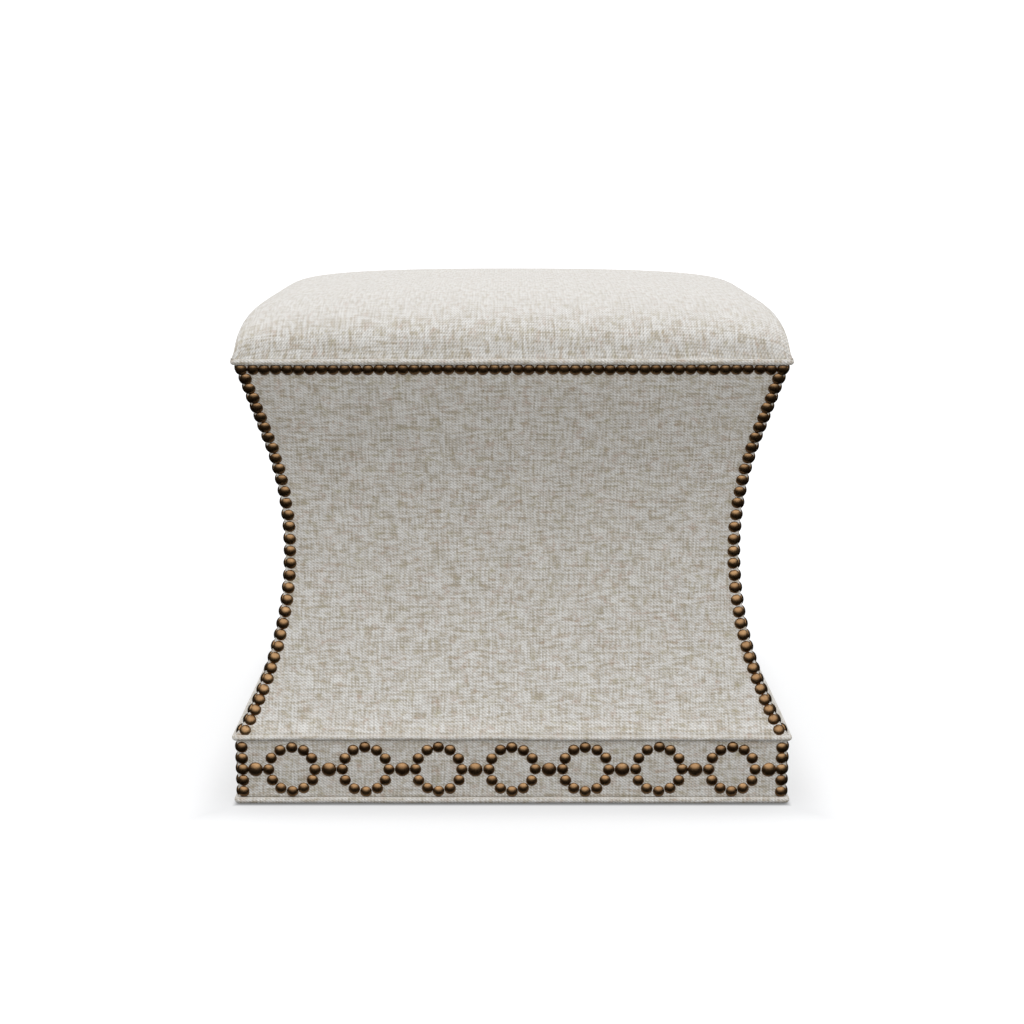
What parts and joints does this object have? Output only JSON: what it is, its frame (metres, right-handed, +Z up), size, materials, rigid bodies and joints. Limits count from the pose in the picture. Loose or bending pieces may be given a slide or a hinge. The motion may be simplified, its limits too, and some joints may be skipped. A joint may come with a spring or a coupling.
{
  "type": "upholstered footstool",
  "caption": "Square upholstered footstool with a waisted body, a crowned cushion, piping and decorative nail trim on a plain plinth.",
  "frame": {"origin": "on the floor, under the middle of the stool", "axes": "+Z up, +X to the right, the pictured front faces -Y"},
  "size_m": [0.507, 0.507, 0.4602],
  "materials": {
    "linen": "matte",
    "antique_brass": "satin",
    "pine": "matte",
    "plywood": "matte",
    "wadding": "matte",
    "foam": "matte",
    "jute": "matte",
    "dust_cloth": "matte",
    "black_nylon": "satin"
  },
  "bodies": {
    "root": {"plinth_rail_front": "pine", "plinth_rail_right": "pine", "plinth_rail_back": "pine", "plinth_rail_left": "pine", "plinth_corner_block_front_left": "pine", "plinth_corner_block_front_right": "pine", "plinth_corner_block_back_right": "pine", "plinth_corner_block_back_left": "pine", "base_board": "plywood", "dust_cover": "dust_cloth", "glide_front_left": "black_nylon", "glide_front_right": "black_nylon", "glide_back_right": "black_nylon", "glide_back_left": "black_nylon", "lower_rail_front": "pine", "lower_rail_right": "pine", "lower_rail_back": "pine", "lower_rail_left": "pine", "middle_rib_front": "plywood", "middle_rib_right": "plywood", "middle_rib_back": "plywood", "middle_rib_left": "plywood", "corner_rib_front_left": "plywood", "corner_rib_front_right": "plywood", "corner_rib_back_right": "plywood", "corner_rib_back_left": "plywood", "seat_rail_front": "pine", "seat_rail_right": "pine", "seat_rail_back": "pine", "seat_rail_left": "pine", "seat_corner_block_front_left": "pine", "seat_corner_block_front_right": "pine", "seat_corner_block_back_right": "pine", "seat_corner_block_back_left": "pine", "body_skin_front": "plywood", "body_skin_right": "plywood", "body_skin_back": "plywood", "body_skin_left": "plywood", "body_wadding": "wadding", "body_panel_front": "linen", "body_panel_right": "linen", "body_panel_back": "linen", "body_panel_left": "linen", "plinth_band_front": "linen", "plinth_band_right": "linen", "plinth_band_back": "linen", "plinth_band_left": "linen", "foot_piping": "linen", "ledge_piping": "linen", "rim_piping": "linen", "web_along_1": "jute", "web_across_1": "jute", "web_along_2": "jute", "web_across_2": "jute", "web_along_3": "jute", "web_across_3": "jute", "hessian": "jute", "seat_foam": "foam", "seat_wadding": "wadding", "seat_cover": "linen"}
  },
  "joints": []
}
